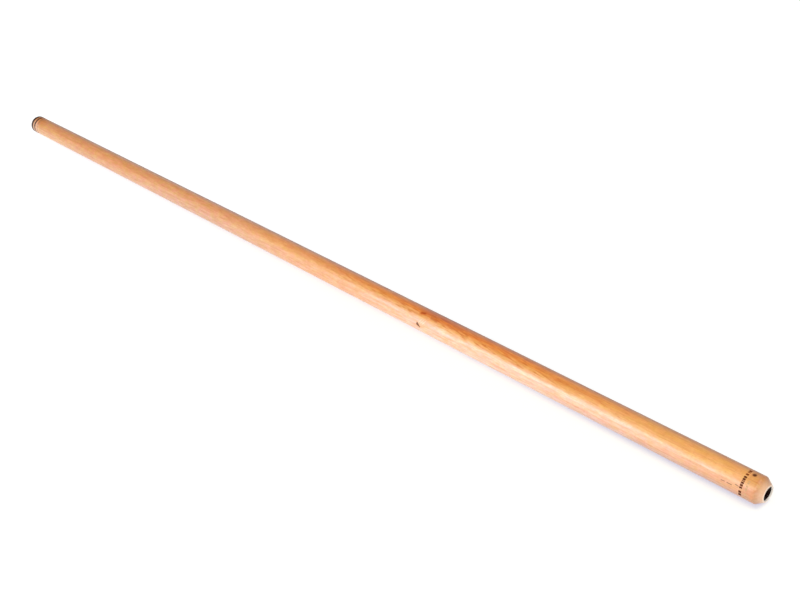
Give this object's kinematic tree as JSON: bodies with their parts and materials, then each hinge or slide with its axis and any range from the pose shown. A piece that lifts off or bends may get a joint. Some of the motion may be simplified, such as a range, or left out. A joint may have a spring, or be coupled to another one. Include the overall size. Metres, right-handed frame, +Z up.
{
  "type": "roller extension pole",
  "caption": "Varnished wooden pole for a paint roller, with a conical nose bored for a threaded insert and a grooved, rounded butt.",
  "frame": {"origin": "below the middle of the pole, on the surface it lies on", "axes": "+X along the pole towards the socket nose, +Z up"},
  "size_m": [1.2, 0.024, 0.024],
  "materials": {
    "varnished_wood": "pale straight-grained hardwood under clear gloss varnish",
    "black_nylon": "moulded, satin",
    "dark_steel": "browned steel"
  },
  "bodies": {
    "root": {"shaft": "varnished_wood", "threaded_insert": "black_nylon", "locking_brad": "dark_steel"}
  },
  "joints": []
}
